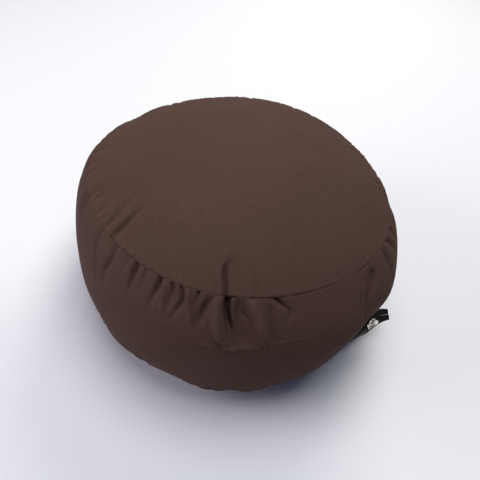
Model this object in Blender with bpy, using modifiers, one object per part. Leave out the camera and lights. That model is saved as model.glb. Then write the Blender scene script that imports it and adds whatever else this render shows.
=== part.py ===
"""A round meditation cushion (zafu), 33 cm across, in metres with +Z up.

The filled cloth body is a turned profile whose points are then moved: the two seams are drawn in,
the body is a little uneven all round, and gathers, creases and one deep fold run from the seams.
The zip in the bottom seam is made of its own pieces: two tapes, the closed coil, the slider and
its pull. It lies on the bottom panel out of sight, and twists out of the seam at its end.
The origin is the middle of the flat underside. The front of the cushion faces -Y.
"""

import math

import bmesh
import bpy
from mathutils import Matrix, Vector

MM = 0.001
WELD = 0.001 * MM

# Body: radii and heights of the profile before it is made uneven.
TOP_SEAM_RADIUS = 142 * MM
TOP_SEAM_HEIGHT = 147 * MM
CROWN_RISE = 36 * MM
CROWN_POWER = 2.3
BULGE_RADIUS = 165 * MM
BULGE_HEIGHT = 95.5 * MM
BOTTOM_SEAM_RADIUS = 155.5 * MM
BOTTOM_SEAM_HEIGHT = 28 * MM
FLAT_RADIUS = 121 * MM
TOP_LEAVING_DEG = 42
BOTTOM_LEAVING_DEG = 80
SEAM_DEPTH = 2.4 * MM
SEAM_HALF_WIDTH = 2.6 * MM
UNDER_EDGE_POWER = 2.3

# The pull of the curves that join the seams to the bulge.
TOP_REACH, TOP_DROP = 0.6, 0.45
LOW_REACH, LOW_DROP, LOW_LIFT = 0.5, 0.6, 0.4

# Mesh: steps round the axis, and rings in the top panel, the side band and under the bottom edge.
# The steps crowd together towards the front, where the gathers are.
STEPS_ROUND = 200
CROWDED_DEG = -95
CROWDING = 0.42
TOP_RINGS = 8
BAND_RINGS = 14
EDGE_RINGS = 4

TOP, BAND, BOTTOM = 0, 1, 2

# How far the body is from round: each ring swells in whole waves round the axis.
UNEVEN_FIELDS = ("ring", "waves", "swell", "peak_deg")
UNEVEN = (
    ("top seam radius", 1, 3.7 * MM, 139),
    ("top seam radius", 2, 2.6 * MM, 11),
    ("top seam radius", 4, 1.5 * MM, -9),
    ("top seam height", 1, 1.7 * MM, 153),
    ("top seam height", 2, 2.5 * MM, 76),
    ("bulge radius", 1, 1.4 * MM, 92),
    ("bulge radius", 2, 4.2 * MM, -70),
    ("bulge radius", 3, 1.0 * MM, -56),
    ("bulge radius", 4, 1.8 * MM, -30),
    ("bottom seam radius", 1, 1.4 * MM, 15),
    ("bottom seam radius", 2, 2.2 * MM, 0),
    ("bottom seam radius", 3, 1.3 * MM, 10),
    ("bottom seam radius", 4, 2.9 * MM, 6),
)

# Folds that run from a seam. side says which panel they are in, run is their length from the
# seam, lean is how far their far end swings round the axis, and a depth below zero is a ridge.
FOLD_FIELDS = ("side", "azimuth_deg", "width", "depth", "run", "lean_deg")
FOLDS = (
    # the deep front fold: tube, slit, hollow and the soft ridge past it
    ("band", -91.0, 5 * MM, -4.2 * MM, 46 * MM, 4.0),
    ("band", -88.3, 4.5 * MM, 7.5 * MM, 38 * MM, 2.4),
    ("band", -84.6, 9 * MM, 4.6 * MM, 46 * MM, 2.6),
    ("band", -80.6, 6 * MM, -4.0 * MM, 44 * MM, 5.0),
    # gathers to the left of it
    ("band", -93.4, 5 * MM, 3.2 * MM, 30 * MM, -2.2),
    ("band", -98.1, 4 * MM, 2.4 * MM, 14 * MM, 0.0),
    ("band", -103.4, 4.5 * MM, 3.4 * MM, 26 * MM, 0.4),
    ("band", -106.8, 4 * MM, 2.8 * MM, 18 * MM, 0.6),
    ("band", -111.1, 5 * MM, 3.8 * MM, 28 * MM, 0.0),
    ("band", -120.4, 5 * MM, 3.8 * MM, 30 * MM, 1.2),
    ("band", -130.4, 7 * MM, 3.8 * MM, 42 * MM, 1.0),
    ("band", -139.4, 6 * MM, 3.2 * MM, 48 * MM, 6.5),
    ("band", -156.4, 6 * MM, 2.8 * MM, 30 * MM, 2.5),
    # gathers to the right of it
    ("band", -72.8, 5 * MM, 3.0 * MM, 24 * MM, 4.0),
    ("band", -30.5, 5 * MM, 4.6 * MM, 46 * MM, -11.0),
    ("band", -21.0, 6 * MM, 3.2 * MM, 36 * MM, -1.5),
    ("band", -15.0, 6 * MM, 3.4 * MM, 32 * MM, 2.5),
    # creases in the top panel
    ("top", -88.9, 4 * MM, 4.6 * MM, 34 * MM, -3.0),
    ("top", -86.5, 12 * MM, 2.8 * MM, 40 * MM, -0.5),
    ("top", -78.8, 4 * MM, 1.6 * MM, 30 * MM, -1.5),
    ("top", -134.7, 5 * MM, 3.6 * MM, 40 * MM, -2.4),
    ("top", -139.6, 5 * MM, 3.2 * MM, 42 * MM, -5.5),
    ("top", -156.0, 6 * MM, 2.0 * MM, 28 * MM, -3.0),
    ("top", -12.0, 7 * MM, 2.6 * MM, 32 * MM, 6.0),
)

# Where the filling has sunk or stands out over a wider stretch. A push above zero is outward.
PUSH_FIELDS = ("azimuth_deg", "spread_deg", "height", "half_height", "push")
PUSHES = (
    (-35.5, 9, 66 * MM, 40 * MM, -9.0 * MM),
    (-49.0, 9, 60 * MM, 32 * MM, -3.4 * MM),
    (-22.5, 7, 48 * MM, 24 * MM, -4.0 * MM),
    (-66.0, 7, 24 * MM, 14 * MM, -2.4 * MM),
    (-82.0, 4, 24 * MM, 14 * MM, -3.0 * MM),
    (-103.0, 9, 24 * MM, 14 * MM, -3.2 * MM),
    (-127.0, 10, 36 * MM, 20 * MM, 2.8 * MM),
    (150.0, 6, 140 * MM, 14 * MM, -2.2 * MM),
    (72.0, 34, 152 * MM, 16 * MM, 1.8 * MM),
    (8.0, 6, 137 * MM, 14 * MM, -2.0 * MM),
    (6.0, 20, 26 * MM, 24 * MM, -5.0 * MM),
)

# Shape of every fold: its lips, how it dies out along its run and how it opens at the seam.
FOLD_LIPS = 0.9
FOLD_FADE = 1.3
FOLD_MOUTH, FOLD_OPENING = 0.55, 0.2
FOLD_REACH = 3

# Lesser gathers round the sides that have no fold of their own.
BACK_GATHERS = 22
BACK_FROM_DEG, BACK_TO_DEG = -2.0, 202.0
BACK_WIDTH = 8 * MM
BACK_DEPTH = 2.6 * MM
BACK_RUN = 30 * MM
LOWER_GATHERS = 34
LOWER_WIDTH = 9 * MM
LOWER_DEPTH = 2.0 * MM
LOWER_RUN = 26 * MM
GOLDEN = 0.618034

# The band turns under along a soft ridge across the front.
TURN_DEG = -84
TURN_SPREAD_DEG = 38
TURN_HEIGHT = 118 * MM
TURN_HALF_WIDTH = 7 * MM
TURN_RISE = 1.4 * MM

# Zip: stations from its hidden end to its loose tip. out and rise are from the bottom seam,
# face is the tilt of its outer side above the horizon, and half is half its width there.
ZIP_FIELDS = ("azimuth_deg", "out", "rise", "face_deg", "half")
ZIP_ROUTE = (
    (-48.0, -8.9 * MM, -15.6 * MM, -38, 7.0 * MM),
    (-42.0, -9.3 * MM, -15.4 * MM, -38, 7.0 * MM),
    (-36.0, -9.0 * MM, -14.3 * MM, -37, 7.0 * MM),
    (-30.0, -6.6 * MM, -11.0 * MM, -28, 7.0 * MM),
    (-25.0, -1.0 * MM, -5.6 * MM, -2, 7.0 * MM),
    (-20.5, 3.4 * MM, -0.4 * MM, 28, 7.0 * MM),
    (-16.6, 6.6 * MM, 1.8 * MM, 40, 7.2 * MM),
    (-13.2, 11.6 * MM, 2.8 * MM, 44, 7.2 * MM),
    (-11.4, 19.6 * MM, 3.2 * MM, 46, 5.6 * MM),
)
ZIP_STATIONS = 56
SHARP_DEG = 40
TAPE_THICKNESS = 1.0 * MM
TAPE_PARTING = 0.2 * MM
POST_ROOM = 1.0 * MM
PARTED_FROM, PARTED_TO = 0.66, 0.815
PARTING_EASE = 0.05
UPPER_TAPE_END_SHARE = 0.985
COIL_HALF_WIDTH = 2.8 * MM
COIL_HEIGHT = 2.0 * MM
COIL_LIFT = 0.45 * MM
COIL_START_SHARE = 0.01
COIL_END_SHARE = 0.63
COIL_ARC_STEPS = 6

# Slider: two plates held apart by a post, with a wire bridge along the top for the pull.
SLIDER_SHARE = 0.7
PLATE_LENGTH = 11 * MM
PLATE_WIDTH = 8.6 * MM
PLATE_NOSE_WIDTH = 6.0 * MM
PLATE_THICKNESS = 1.2 * MM
PLATE_CLEARANCE = 1.0 * MM
PLATE_BEVEL = 0.25 * MM
BEVEL_FROM_DEG = 60
POST_SIZE = (2.8 * MM, 1.4 * MM)
POST_X = 3.6 * MM
BRIDGE_LENGTH = 7.6 * MM
BRIDGE_RISE = 4.2 * MM
BRIDGE_WIRE = 0.75 * MM
BRIDGE_STEPS = 16
BRIDGE_SQUARENESS = 0.5

# Pull: a short tab with an eye round the bridge, swung out and tipped down over the loose tape.
PULL_REACH = 6.6 * MM
PULL_END_RADIUS = 2.1 * MM
PULL_EYE_RADIUS = 1.6 * MM
PULL_RIM = 1.1 * MM
PULL_THICKNESS = 1.0 * MM
PULL_ARC_STEPS = 12
PULL_EYE_X = 3.45 * MM
PULL_EYE_LIFT = 1.4 * MM
PULL_SWING_DEG = -34
PULL_DROP_DEG = 10

FINISHES = {
    "brown cotton cloth": ((0.088, 0.052, 0.044), 0.85, 0.0),
    "black woven tape": ((0.012, 0.012, 0.013), 0.8, 0.0),
    "black nylon coil": ((0.015, 0.015, 0.016), 0.45, 0.0),
    "nickel plated zinc": ((0.72, 0.71, 0.69), 0.28, 1.0),
}


def clear_scene():
    for obj in list(bpy.data.objects):
        bpy.data.objects.remove(obj, do_unlink=True)


def new_collection(name):
    collection = bpy.data.collections.new(name)
    bpy.context.scene.collection.children.link(collection)
    return collection


def finish(name):
    """The material of this name, made the first time that it is asked for."""
    material = bpy.data.materials.get(name)
    if material is None:
        colour, roughness, metallic = FINISHES[name]
        material = bpy.data.materials.new(name)
        material.use_nodes = True
        shader = material.node_tree.nodes["Principled BSDF"]
        shader.inputs["Base Color"].default_value = (*colour, 1.0)
        shader.inputs["Roughness"].default_value = roughness
        shader.inputs["Metallic"].default_value = metallic
    return material


def add_object(name, mesh, collection, finish_name):
    obj = bpy.data.objects.new(name, mesh)
    collection.objects.link(obj)
    mesh.materials.clear()
    mesh.materials.append(finish(finish_name))
    return obj


def smoothstep(x):
    x = min(max(x, 0.0), 1.0)
    return x * x * (3 - 2 * x)


def degrees_between(azimuth, other):
    """The signed angle from other to azimuth, from -180 to 180."""
    return (azimuth - other + 180) % 360 - 180


def swell(ring, azimuth):
    """How far a ring is pushed from its plain size at this azimuth, in degrees."""
    total = 0.0
    for row in UNEVEN:
        fields = dict(zip(UNEVEN_FIELDS, row))
        if fields["ring"] == ring:
            turn = fields["waves"] * math.radians(azimuth - fields["peak_deg"])
            total += fields["swell"] * math.cos(turn)
    return total


def bezier(points, share):
    weights = (
        (1 - share) ** 3,
        3 * (1 - share) ** 2 * share,
        3 * (1 - share) * share**2,
        share**3,
    )
    radius = sum(weight * point[0] for weight, point in zip(weights, points))
    height = sum(weight * point[1] for weight, point in zip(weights, points))
    return radius, height


def profile(panel, share, azimuth=None):
    """(radius, height) on the outline: from the centre of the top to its seam, from there down the
    band, and from the bottom seam in to the centre. Without an azimuth it is the plain turned form."""
    uneven = (lambda ring: 0.0) if azimuth is None else (lambda ring: swell(ring, azimuth))
    seam = (
        TOP_SEAM_RADIUS + uneven("top seam radius"),
        TOP_SEAM_HEIGHT + uneven("top seam height"),
    )
    bulge = (BULGE_RADIUS + uneven("bulge radius"), BULGE_HEIGHT)
    low_seam = (BOTTOM_SEAM_RADIUS + uneven("bottom seam radius"), BOTTOM_SEAM_HEIGHT)
    if panel == TOP:
        edge_height = TOP_SEAM_HEIGHT + (seam[1] - TOP_SEAM_HEIGHT) * share**2
        return seam[0] * share, edge_height + CROWN_RISE * (1 - share**CROWN_POWER)
    if panel == BAND and share < 0.5:
        out = TOP_REACH * (bulge[0] - seam[0])
        drop = seam[1] - bulge[1]
        handles = (
            (seam[0] + out, seam[1] - out * math.tan(math.radians(TOP_LEAVING_DEG))),
            (bulge[0], bulge[1] + TOP_DROP * drop),
        )
        return bezier((seam, *handles, bulge), 2 * share)
    if panel == BAND:
        out = max(LOW_REACH * (bulge[0] - low_seam[0]), 0.0)
        drop = bulge[1] - low_seam[1]
        lift = out * math.tan(math.radians(BOTTOM_LEAVING_DEG))
        handles = (
            (bulge[0], bulge[1] - LOW_DROP * drop),
            (low_seam[0] + out, low_seam[1] + min(lift, LOW_LIFT * drop)),
        )
        return bezier((bulge, *handles, low_seam), 2 * share - 1)
    inward = min(2 * share, 1.0)
    radius = low_seam[0] + (FLAT_RADIUS - low_seam[0]) * inward
    height = BOTTOM_SEAM_HEIGHT * (1 - inward) ** UNDER_EDGE_POWER
    return (radius if share <= 0.5 else FLAT_RADIUS * (2 - 2 * share)), height


def outward(panel, share, azimuth):
    """(outward, upward) parts of the surface's direction at this place."""
    step = 0.004
    before = profile(panel, max(share - step, 0.0), azimuth)
    after = profile(panel, min(share + step, 1.0), azimuth)
    along = (after[0] - before[0], after[1] - before[1])
    length = math.hypot(*along)
    return -along[1] / length, along[0] / length


def fold_depth(across, along):
    """A trough one unit deep with low lips, that starts at the seam and dies out along its run."""
    if along >= 1:
        return 0.0
    trough = (1 - FOLD_LIPS * across**2) * math.exp(-(across**2))
    mouth = FOLD_MOUTH + (1 - FOLD_MOUTH) * smoothstep(along / FOLD_OPENING)
    return trough * mouth * (1 - along) ** FOLD_FADE


def spaced_gathers(count, first_deg, last_deg):
    """Azimuths with a size each, from half to whole, spread unevenly between two angles."""
    pitch = (last_deg - first_deg) / count
    rows = []
    for number in range(count):
        chance = (number * GOLDEN) % 1
        other = (number * GOLDEN**2) % 1
        rows.append((first_deg + pitch * (number + chance), 0.5 + 0.5 * other))
    return rows


def gather_rows():
    rows = [dict(zip(FOLD_FIELDS, row)) for row in FOLDS]
    for number, (azimuth, size) in enumerate(spaced_gathers(BACK_GATHERS, BACK_FROM_DEG, BACK_TO_DEG)):
        side = "top" if number % 3 == 2 else "band"
        row = (side, azimuth, BACK_WIDTH, BACK_DEPTH * size, BACK_RUN * size, 2.0 * size - 1.5)
        rows.append(dict(zip(FOLD_FIELDS, row)))
    for azimuth, size in spaced_gathers(LOWER_GATHERS, -180, 180):
        row = ("low band", azimuth, LOWER_WIDTH, LOWER_DEPTH * size, LOWER_RUN * size, 0.0)
        rows.append(dict(zip(FOLD_FIELDS, row)))
    return rows


def relief(rows, panel, share, azimuth):
    """How far the cloth stands out of the plain outline, with the seams, folds and turned-under ridge."""
    if panel == BOTTOM and share >= 0.5:
        return 0.0
    radius, height = profile(panel, share, azimuth)
    top_seam = profile(BAND, 0.0, azimuth)
    low_seam = profile(BAND, 1.0, azimuth)
    from_top = math.dist((radius, height), top_seam)
    from_low = math.dist((radius, height), low_seam)
    total = -SEAM_DEPTH * math.exp(-((from_top / SEAM_HALF_WIDTH) ** 2))
    total -= SEAM_DEPTH * math.exp(-((from_low / SEAM_HALF_WIDTH) ** 2))
    starts = {"top": from_top, "band": from_top, "low band": from_low}
    sides = {"top": TOP, "band": BAND, "low band": BAND}
    for row in rows:
        if sides[row["side"]] != panel:
            continue
        along = starts[row["side"]] / row["run"]
        swung = degrees_between(azimuth, row["azimuth_deg"] + row["lean_deg"] * min(along, 1.0))
        across = math.radians(swung) * radius / row["width"]
        if abs(across) < FOLD_REACH:
            total -= row["depth"] * fold_depth(across, along)
    if panel == BAND:
        turn = degrees_between(azimuth, TURN_DEG) / TURN_SPREAD_DEG
        level = (height - TURN_HEIGHT) / TURN_HALF_WIDTH
        total += TURN_RISE * math.exp(-(turn**4)) * math.exp(-(level**2))
    for row in PUSHES:
        fields = dict(zip(PUSH_FIELDS, row))
        turn = degrees_between(azimuth, fields["azimuth_deg"]) / fields["spread_deg"]
        level = (height - fields["height"]) / fields["half_height"]
        total += fields["push"] * math.exp(-(turn**2) - level**2)
    return total


def cloth_point(rows, panel, share, azimuth):
    radius, height = profile(panel, share, azimuth)
    if radius < 1e-6:
        return Vector((0.0, 0.0, height))
    stand = relief(rows, panel, share, azimuth)
    out, up = outward(panel, share, azimuth)
    radius += stand * out
    height = max(height + stand * up, 0.0)
    turn = math.radians(azimuth)
    return Vector((radius * math.cos(turn), radius * math.sin(turn), height))


def ring_places():
    """(panel, share) of each ring from the centre of the top to the centre underneath, closer
    together near the seams."""
    places = [(TOP, math.sin(math.pi / 2 * ring / TOP_RINGS)) for ring in range(TOP_RINGS)]
    places += [(BAND, 0.5 - 0.5 * math.cos(math.pi * ring / BAND_RINGS)) for ring in range(BAND_RINGS + 1)]
    places += [(BOTTOM, 0.5 * (ring / EDGE_RINGS) ** 1.4) for ring in range(1, EDGE_RINGS + 1)]
    places.append((BOTTOM, 1.0))
    return places


def build_cushion(collection):
    """The turned profile, then its points moved to where the cloth lies."""
    places = ring_places()
    mesh = bpy.data.meshes.new("cushion profile")
    plain = [profile(panel, share) for panel, share in places]
    edges = [(ring, ring + 1) for ring in range(len(places) - 1)]
    mesh.from_pydata([(radius, 0.0, height) for radius, height in plain], edges, [])
    number = mesh.attributes.new("ring", "INT", "POINT")
    number.data.foreach_set("value", list(range(len(places))))
    turned = bpy.data.objects.new("cushion profile", mesh)
    collection.objects.link(turned)
    screw = turned.modifiers.new("turned", "SCREW")
    screw.steps = STEPS_ROUND
    screw.render_steps = STEPS_ROUND
    screw.use_merge_vertices = True
    screw.merge_threshold = 0.00001
    bpy.context.view_layer.update()
    graph = bpy.context.evaluated_depsgraph_get()
    body = bpy.data.meshes.new_from_object(turned.evaluated_get(graph))
    bpy.data.objects.remove(turned, do_unlink=True)
    rows = gather_rows()
    rings = body.attributes["ring"].data
    for vertex in body.vertices:
        panel, share = places[rings[vertex.index].value]
        even = math.atan2(vertex.co.y, vertex.co.x)
        crowd = CROWDING * math.sin(even - math.radians(CROWDED_DEG))
        vertex.co = cloth_point(rows, panel, share, math.degrees(even - crowd))
    body.name = "cushion"
    body.shade_smooth()
    return add_object("cushion", body, collection, "brown cotton cloth")


def zip_station(position):
    """A row of the zip's route, read smoothly at a position counted in rows."""
    last = len(ZIP_ROUTE) - 1
    first = min(int(position), last - 1)
    share = position - first
    picked = [ZIP_ROUTE[min(max(first + step, 0), last)] for step in (-1, 0, 1, 2)]
    values = []
    for a, b, c, d in zip(*picked):
        slope_b, slope_c = (c - a) / 2, (d - b) / 2
        values.append(
            b
            + slope_b * share
            + (3 * (c - b) - 2 * slope_b - slope_c) * share**2
            + (2 * (b - c) + slope_b + slope_c) * share**3
        )
    return dict(zip(ZIP_FIELDS, values))


def zip_centre(share):
    row = zip_station(share * (len(ZIP_ROUTE) - 1))
    radius, height = profile(BAND, 1.0, row["azimuth_deg"])
    turn = math.radians(row["azimuth_deg"])
    radius += row["out"]
    return Vector((radius * math.cos(turn), radius * math.sin(turn), height + row["rise"]))


def zip_frame(share):
    """(centre, along, across, face) of the zip at a share of its length. Across points up."""
    step = 0.01
    centre = zip_centre(share)
    along = (zip_centre(min(share + step, 1.0)) - zip_centre(max(share - step, 0.0))).normalized()
    row = zip_station(share * (len(ZIP_ROUTE) - 1))
    level = Vector((along.y, -along.x, 0.0)).normalized()
    tilt = math.radians(row["face_deg"])
    face = level * math.cos(tilt) + Vector((0.0, 0.0, 1.0)) * math.sin(tilt)
    face = (face - along * face.dot(along)).normalized()
    return centre, along, face.cross(along), face


def zip_strip(name, collection, finish_name, section, first, last):
    """A solid that follows the zip. section gives its corners, as (across, out), from half the width
    and the share of the zip's length."""
    verts = []
    for station in range(ZIP_STATIONS + 1):
        share = first + (last - first) * station / ZIP_STATIONS
        centre, _, across, face = zip_frame(share)
        half = zip_station(share * (len(ZIP_ROUTE) - 1))["half"]
        corners = section(half, share)
        verts += [centre + across * sideways + face * out for sideways, out in corners]
    count = len(corners)
    faces = [tuple(range(count)), tuple(range(len(verts) - 1, len(verts) - count - 1, -1))]
    for station in range(ZIP_STATIONS):
        start = station * count
        for corner in range(count):
            after = (corner + 1) % count
            faces.append((start + corner, start + count + corner, start + count + after, start + after))
    mesh = bpy.data.meshes.new(name)
    mesh.from_pydata(verts, [], faces)
    shell = bmesh.new()
    shell.from_mesh(mesh)
    bmesh.ops.recalc_face_normals(shell, faces=shell.faces)
    shell.to_mesh(mesh)
    shell.free()
    mesh.shade_smooth()
    mesh.set_sharp_from_angle(angle=math.radians(SHARP_DEG))
    return add_object(name, mesh, collection, finish_name)


def tape_parting(share):
    """Half the gap between the tapes, wider where the slider's post stands between them."""
    opening = smoothstep((share - PARTED_FROM) / PARTING_EASE)
    closing = smoothstep((PARTED_TO - share) / PARTING_EASE)
    return TAPE_PARTING + POST_ROOM * opening * closing


def build_tapes(collection):
    thick = TAPE_THICKNESS / 2

    def upper(half, share):
        inner = tape_parting(share)
        return ((inner, -thick), (half, -thick), (half, thick), (inner, thick))

    def lower(half, share):
        inner = tape_parting(share)
        return ((-half, -thick), (-inner, -thick), (-inner, thick), (-half, thick))

    zip_strip("zip_tape_upper", collection, "black woven tape", upper, 0.0, UPPER_TAPE_END_SHARE)
    zip_strip("zip_tape_lower", collection, "black woven tape", lower, 0.0, 1.0)


def build_coil(collection):
    """The closed coil as one ridge on the tapes. It stops short of the slider."""
    low = TAPE_THICKNESS / 2 + COIL_LIFT
    turns = [math.pi * corner / COIL_ARC_STEPS for corner in range(COIL_ARC_STEPS + 1)]

    def ridge(half, share):
        return [(COIL_HALF_WIDTH * math.cos(turn), low + COIL_HEIGHT * math.sin(turn)) for turn in turns]

    zip_strip("zip_coil", collection, "black nylon coil", ridge, COIL_START_SHARE, COIL_END_SHARE)


def curve_mesh(name, splines, settings):
    """A closed mesh from poly splines, each a list of points and whether it is a ring."""
    curve = bpy.data.curves.new(name, "CURVE")
    for setting, value in settings.items():
        setattr(curve, setting, value)
    for points, ring in splines:
        spline = curve.splines.new("POLY")
        spline.points.add(len(points) - 1)
        for place, point in zip(spline.points, points):
            place.co = (*point, 1.0)
        spline.use_cyclic_u = ring
    holder = bpy.data.objects.new(name, curve)
    bpy.context.scene.collection.objects.link(holder)
    bpy.context.view_layer.update()
    graph = bpy.context.evaluated_depsgraph_get()
    mesh = bpy.data.meshes.new_from_object(holder.evaluated_get(graph))
    bpy.data.objects.remove(holder, do_unlink=True)
    shell = bmesh.new()
    shell.from_mesh(mesh)
    bmesh.ops.remove_doubles(shell, verts=shell.verts, dist=WELD)
    bmesh.ops.recalc_face_normals(shell, faces=shell.faces)
    shell.to_mesh(mesh)
    shell.free()
    return mesh


def slider_matrix():
    """Slider space: X along the zip to its tip, Y across the tapes and Z out of their face."""
    centre, along, across, face = zip_frame(SLIDER_SHARE)
    turn = Matrix((along, across, face)).transposed()
    return Matrix.Translation(centre) @ turn.to_4x4()


def plate_mesh(name, low, high):
    """A slider plate between two heights, wide at its mouth and narrow at its nose."""
    length, nose, mouth = PLATE_LENGTH / 2, PLATE_NOSE_WIDTH / 2, PLATE_WIDTH / 2
    half = ((-length, nose), (-length / 3, nose), (length / 3, mouth), (length, mouth))
    outline = [(x, -y, 0.0) for x, y in half] + [(x, y, 0.0) for x, y in reversed(half)]
    settings = {"dimensions": "2D", "fill_mode": "BOTH", "extrude": (high - low) / 2}
    mesh = curve_mesh(name, [(outline, True)], settings)
    mesh.transform(Matrix.Translation((0.0, 0.0, (low + high) / 2)))
    return mesh


def helper(name, mesh, cutters, matrix):
    obj = bpy.data.objects.new(name, mesh)
    cutters.objects.link(obj)
    obj.matrix_world = matrix
    obj.hide_render = True
    obj.display_type = "WIRE"
    return obj


def join(obj, tool):
    modifier = obj.modifiers.new(tool.name, "BOOLEAN")
    modifier.operation = "UNION"
    modifier.object = tool
    modifier.solver = "EXACT"


def post_mesh(height):
    shell = bmesh.new()
    matrix = Matrix.Translation((POST_X, 0.0, 0.0)) @ Matrix.Diagonal((*POST_SIZE, height, 1.0))
    bmesh.ops.create_cube(shell, size=1.0, matrix=matrix)
    mesh = bpy.data.meshes.new("post")
    shell.to_mesh(mesh)
    shell.free()
    return mesh


def bridge_mesh(foot):
    """The square-shouldered wire loop along the slider, with its feet in the top plate."""
    points = []
    for number in range(BRIDGE_STEPS + 1):
        turn = math.pi * number / BRIDGE_STEPS
        rise = BRIDGE_RISE * max(math.sin(turn), 0.0) ** BRIDGE_SQUARENESS
        points.append((-BRIDGE_LENGTH / 2 * math.cos(turn), 0.0, foot + rise))
    settings = {"dimensions": "3D", "bevel_depth": BRIDGE_WIRE, "bevel_resolution": 2, "use_fill_caps": True}
    return curve_mesh("bridge", [(points, False)], settings)


def build_slider(collection, cutters):
    """Two plates with the tapes between them, the post that joins them and the bridge."""
    near = TAPE_THICKNESS / 2 + PLATE_CLEARANCE
    far = near + PLATE_THICKNESS
    middle = (near + far) / 2
    matrix = slider_matrix()
    slider = add_object("zip_slider", plate_mesh("zip_slider", near, far), collection, "nickel plated zinc")
    slider.matrix_world = matrix
    for name, mesh in (
        ("under_plate", plate_mesh("under plate", -far, -near)),
        ("post", post_mesh(2 * middle)),
        ("bridge", bridge_mesh(middle)),
    ):
        join(slider, helper(name, mesh, cutters, matrix))
    bevel = slider.modifiers.new("edges", "BEVEL")
    bevel.width = PLATE_BEVEL
    bevel.segments = 1
    bevel.limit_method = "ANGLE"
    bevel.angle_limit = math.radians(BEVEL_FROM_DEG)
    return slider


def arc(centre_x, radius, first_deg, last_deg, steps):
    """Points on an arc in the XY plane, from the first angle to just before the last."""
    points = []
    for step in range(steps):
        turn = math.radians(first_deg + (last_deg - first_deg) * step / steps)
        points.append((centre_x + radius * math.cos(turn), radius * math.sin(turn), 0.0))
    return points


def build_pull(collection):
    """A plate from its eye at the origin along +X, with rounded ends."""
    eye_end = arc(0.0, PULL_EYE_RADIUS + PULL_RIM, 90, 270, PULL_ARC_STEPS)
    far_end = arc(PULL_REACH - PULL_END_RADIUS, PULL_END_RADIUS, -90, 90, PULL_ARC_STEPS)
    eye = arc(0.0, PULL_EYE_RADIUS, 0, 360, PULL_ARC_STEPS)
    settings = {"dimensions": "2D", "fill_mode": "BOTH", "extrude": PULL_THICKNESS / 2}
    mesh = curve_mesh("zip_pull", [(eye_end + far_end, True), (eye, True)], settings)
    pull = add_object("zip_pull", mesh, collection, "nickel plated zinc")
    lift = TAPE_THICKNESS / 2 + PLATE_CLEARANCE + PLATE_THICKNESS + PULL_EYE_LIFT
    swing = Matrix.Rotation(math.radians(PULL_SWING_DEG), 4, "Z")
    drop = Matrix.Rotation(math.radians(PULL_DROP_DEG), 4, "Y")
    pull.matrix_world = slider_matrix() @ Matrix.Translation((PULL_EYE_X, 0.0, lift)) @ swing @ drop
    return pull


def main():
    clear_scene()
    collection = new_collection("meditation cushion")
    cutters = new_collection("cutters")
    build_cushion(collection)
    build_tapes(collection)
    build_coil(collection)
    build_slider(collection, cutters)
    build_pull(collection)


main()
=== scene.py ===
"""A round meditation cushion with a gathered side band and a zip end that stands out of its lower
seam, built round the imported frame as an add-on that is run as a script."""

import math

import bmesh
import bpy
import numpy as np
from bpy.props import FloatProperty, FloatVectorProperty, IntProperty, PointerProperty
from mathutils import Matrix, Vector


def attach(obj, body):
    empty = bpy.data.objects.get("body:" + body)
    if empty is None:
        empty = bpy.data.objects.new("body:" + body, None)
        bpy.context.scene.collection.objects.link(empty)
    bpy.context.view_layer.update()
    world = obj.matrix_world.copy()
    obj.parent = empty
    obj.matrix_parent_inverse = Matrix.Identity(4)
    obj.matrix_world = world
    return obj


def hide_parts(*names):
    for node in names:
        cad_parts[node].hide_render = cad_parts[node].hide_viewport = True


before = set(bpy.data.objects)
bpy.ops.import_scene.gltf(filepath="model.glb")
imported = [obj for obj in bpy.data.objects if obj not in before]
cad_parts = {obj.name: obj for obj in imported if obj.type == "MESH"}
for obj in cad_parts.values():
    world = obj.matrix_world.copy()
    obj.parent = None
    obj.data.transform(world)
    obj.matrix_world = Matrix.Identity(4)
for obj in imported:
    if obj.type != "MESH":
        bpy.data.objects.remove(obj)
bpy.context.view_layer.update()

bl_info = {
    "name": "Zafu Meditation Cushion",
    "version": (1, 0, 0),
    "blender": (4, 5, 0),
    "location": "3D View > Sidebar > Zafu",
    "description": "Builds a filled round cushion with its gathers, seams and zip",
    "category": "Add Mesh",
}

MM = 0.001

# The filled body: the same outline that the CAD solid has. A higher power gives a crown that is
# flatter in its middle, and an edge underneath that turns flat sooner.
TOP_SEAM_RADIUS = 142 * MM
TOP_SEAM_HEIGHT = 147 * MM
CROWN_RISE = 36 * MM
CROWN_POWER = 2.3
BULGE_RADIUS = 165 * MM
BULGE_HEIGHT = 95.5 * MM
BOTTOM_SEAM_RADIUS = 155.5 * MM
BOTTOM_SEAM_HEIGHT = 28 * MM
FLAT_RADIUS = 121 * MM
UNDER_EDGE_POWER = 2.3

# How steeply the band leaves its two seams, and how far the handles of its curves reach: a share of
# the way out to the bulge, and shares of the drop between a seam and the bulge.
TOP_LEAVING_DEG, BOTTOM_LEAVING_DEG = 42, 80
TOP_REACH, TOP_DROP = 0.6, 0.45
LOW_REACH, LOW_DROP, LOW_LIFT = 0.5, 0.6, 0.4

# The panels, numbered as their material slots are.
TOP, BAND, UNDER = 0, 1, 2

# Steps crowd together towards the front, where the gathers are.
CROWDED_DEG = -90
CROWDING = 0.55

# How many rings the cover has on its top panel, on the band, and on the curved edge and the flat of
# its underside. The rings of that edge lie closer at the seam.
TOP_RINGS, BAND_RINGS, EDGE_RINGS, FLAT_RINGS = 44, 120, 16, 3
EDGE_CROWDING = 1.3

# Where the rings of the band lie: the part of their count, and the share of the way down the band.
BAND_SPREAD = ((0.0, 0.0), (0.12, 0.03), (0.62, 0.42), (0.9, 0.96), (1.0, 1.0))

# The step, as a share of a panel, over which the slope of the body is taken.
SLOPE_STEP = 0.004

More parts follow.
